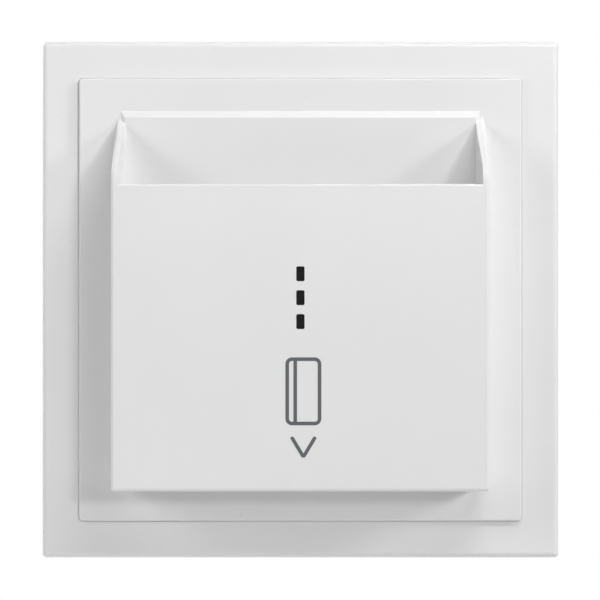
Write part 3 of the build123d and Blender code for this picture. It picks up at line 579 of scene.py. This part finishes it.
def arrow():
    """The arrow head below the card, with round ends and a round point."""
    left = on_pocket(arrow_left, arrow_top)
    point = on_pocket(arrow_point, arrow_bottom)
    right = on_pocket(arrow_right, arrow_top)
    half = stroke / 2 * pocket_pixel
    lean = math.degrees(math.atan2(left.y - point.y, point.x - left.x))
    down_arm = Vector((math.cos(math.radians(lean)), -math.sin(math.radians(lean))))
    side = Vector((-down_arm.y, down_arm.x))
    notch = point + Vector((0, half / side.y))
    tip = arrow_tip * pocket_pixel
    middle = point + Vector((0, (tip - half) / side.y))
    loop = (
        arc(left, half, 90 - lean, 270 - lean)
        + arc(middle, tip, 270 - lean, 270 + lean)
        + arc(right, half, lean - 90, lean + 90)
        + [notch]
    )
    ink_piece("arrow_sign", [loop], [range(len(loop))])


# Corners of the frame's opening


def opening_corners():
    """Small rounds in the four corners of the frame's opening, which follow the plate's corners."""
    plate_low, plate_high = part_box("pocket_cover")
    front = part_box("outer_frame")[0][1]
    half = (plate_high[0] - plate_low[0]) / 2 + opening_gap
    centre = Vector((1, 1)) * (half - corner_radius)
    quarter = arc(centre, corner_radius, 0, 90) + [Vector((half, half))]
    mesh = bmesh.new()
    for across, up in ((1, 1), (-1, 1), (-1, -1), (1, -1)):
        near = [mesh.verts.new((p.x * across, front, p.y * up)) for p in quarter]
        far = [mesh.verts.new((p.x * across, front + corner_depth, p.y * up)) for p in quarter]
        count = len(quarter)
        for i in range(count):
            j = (i + 1) % count
            mesh.faces.new((near[i], far[i], far[j], near[j]))
        for i in range(count - 2):
            mesh.faces.new((near[-1], near[i], near[i + 1]))
            mesh.faces.new((far[-1], far[i + 1], far[i]))
    add_piece("opening_corners", mesh, "cover_plastic")


# Springs, copied in place of the model's springs


def spring_copy(name, node):
    """A copy of a spring that stands for it, while the spring itself is hidden."""
    piece = linked(name, nodes[node].data.copy())
    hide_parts(node)
    return piece


def wound_lever_spring():
    """A copy of the lever's spring, with its place baked into the mesh."""
    piece = spring_copy("wound_lever_spring", "lever_spring")
    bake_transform(piece)


def pressed_blade_spring():
    """A copy of the blade's spring, kept on the housing with a mesh of its own."""
    low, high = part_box("blade_spring")
    pin_low, pin_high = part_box("blade_pin")
    pin = (pin_low[0] + pin_high[0]) / 2
    reach = max(abs(low[0] - pin), abs(high[0] - pin))
    length = high[1] - low[1]
    piece = spring_copy("pressed_blade_spring", "blade_spring")
    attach(piece, "housing")
    1 - reach * math.sin(blade_angle) / length
    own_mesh(piece)


# Light, floor and camera


def lamp(name, place, size, power):
    """A square soft box that faces the switch."""
    data = bpy.data.lights.new(name, "AREA")
    data.size = size
    data.energy = power
    made = linked(name, data)
    made.location = place
    made.rotation_euler = Vector(place).to_track_quat("Z", "Y").to_euler()


def pale_floor():
    """A plain floor below the switch, which fades into the white round it and is clear from below."""
    finish = Finish("pale_floor")
    white = finish.blend(finish.seen(), grey(0.0), grey(1.0))
    start, end = floor_fade
    reach = finish.node("ShaderNodeVectorMath", {"operation": "LENGTH"}, {0: finish.places()})
    fade = finish.node("ShaderNodeMapRange", {}, {"Value": reach, "From Min": start, "From Max": end})
    near = finish.node("ShaderNodeBsdfPrincipled", {}, {
        "Base Color": grey(floor_shade),
        "Roughness": 0.9,
        "Emission Color": white,
        "Emission Strength": floor_glow,
    })
    far = finish.node("ShaderNodeEmission", {}, {"Color": white})
    below = finish.node("ShaderNodeNewGeometry", output="Backfacing")
    clear = finish.node("ShaderNodeBsdfTransparent")
    both = finish.choice(below, finish.choice(fade, near, far), clear)
    finish.node("ShaderNodeOutputMaterial", {}, {"Surface": both})
    mesh = bmesh.new()
    bmesh.ops.create_circle(mesh, cap_ends=True, radius=floor_reach, segments=floor_sides)
    floor = linked_mesh("floor", mesh, finish.owner)
    floor.location.z = floor_height


def white_world():
    """White to the camera, and a faint even light on the switch."""
    finish = Finish("studio", "worlds")
    light, white = [
        finish.node("ShaderNodeBackground", {}, {"Color": grey(1.0), "Strength": strength})
        for strength in (world_light, 1.0)
    ]
    both = finish.choice(finish.seen(), light, white)
    finish.node("ShaderNodeOutputWorld", {}, {"Surface": both})
    bpy.context.scene.world = finish.owner


def camera():
    """A long lens square to the frame's face."""
    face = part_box("outer_frame")[0][1]
    data = bpy.data.cameras.new("camera")
    data.sensor_width = sensor_width
    data.lens = sensor_width * view_distance / view_width
    data.clip_start = 1 * mm
    made = linked("camera", data)
    made.location = (camera_offset[0], face - view_distance, camera_offset[1])
    made.rotation_euler = (math.radians(90), 0, 0)
    bpy.context.scene.camera = made


dress_nodes()
card_outline()
card_stripe()
arrow()
opening_corners()
wound_lever_spring()
pressed_blade_spring()
for name, (place, size, power) in lamps.items():
    lamp(name, place, size, power)
pale_floor()
white_world()
camera()
bpy.context.scene.view_settings.view_transform = "Standard"
